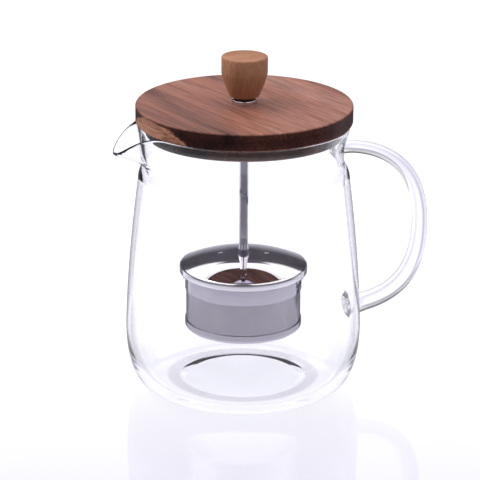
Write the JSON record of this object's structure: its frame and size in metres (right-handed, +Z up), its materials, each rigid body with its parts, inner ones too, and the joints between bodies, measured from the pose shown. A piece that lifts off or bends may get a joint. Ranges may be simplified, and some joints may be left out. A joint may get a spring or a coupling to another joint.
{
  "type": "glass teapot with infuser",
  "caption": "Glass teapot with a drawn spout, fused handle, wooden lid and a mesh infuser that hangs from the lid on a lift rod.",
  "frame": {"origin": "centre of the ring that the jug stands on, on the surface under it", "axes": "+Z up along the jug's axis, +X towards the handle, -X towards the spout"},
  "size_m": [0.1701, 0.12, 0.1744],
  "materials": {
    "clear_glass": "clear borosilicate glass, fire polished",
    "dark_wood": "oiled walnut-like wood, fine straight grain",
    "light_wood": "oiled paler wood, fine grain",
    "polished_steel": "polished stainless steel",
    "mirror_steel": "mirror polished stainless steel",
    "satin_steel": "satin stainless steel",
    "etched_mesh": "fine etched mesh, matte",
    "brass": "turned brass",
    "black_rubber": "smooth black silicone"
  },
  "bodies": {
    "jug": {"glass_body": "clear_glass", "glass_handle": "clear_glass"},
    "lid": {"wooden_lid": "dark_wood", "lid_bush": "polished_steel", "bush_washer": "satin_steel", "bush_nut": "polished_steel"},
    "infuser": {"knob": "light_wood", "knob_insert": "brass", "buffer_washer": "black_rubber", "upper_rod": "polished_steel", "knuckle_pin": "satin_steel", "lower_rod": "polished_steel", "stem_collar": "polished_steel", "infuser_cover": "mirror_steel", "cover_sleeve": "satin_steel", "bayonet_pins": "satin_steel", "cover_washer": "satin_steel", "cover_nut": "satin_steel"},
    "basket": {"basket_collar": "polished_steel", "basket_mesh": "etched_mesh", "basket_base": "polished_steel"}
  },
  "joints": [
    {"name": "lid_lift", "type": "slide", "parent": "jug", "child": "lid", "axis": [0, 0, 1], "range_m": [0, 0.125]},
    {"name": "infuser_lift", "type": "slide", "parent": "lid", "child": "infuser", "axis": [0, 0, 1], "range_m": [0, 0.0582]},
    {"name": "basket_twist", "type": "hinge", "parent": "infuser", "child": "basket", "pos_m": [0, 0, 0.05], "axis": [0, 0, 1], "range_deg": [0, 25]}
  ]
}
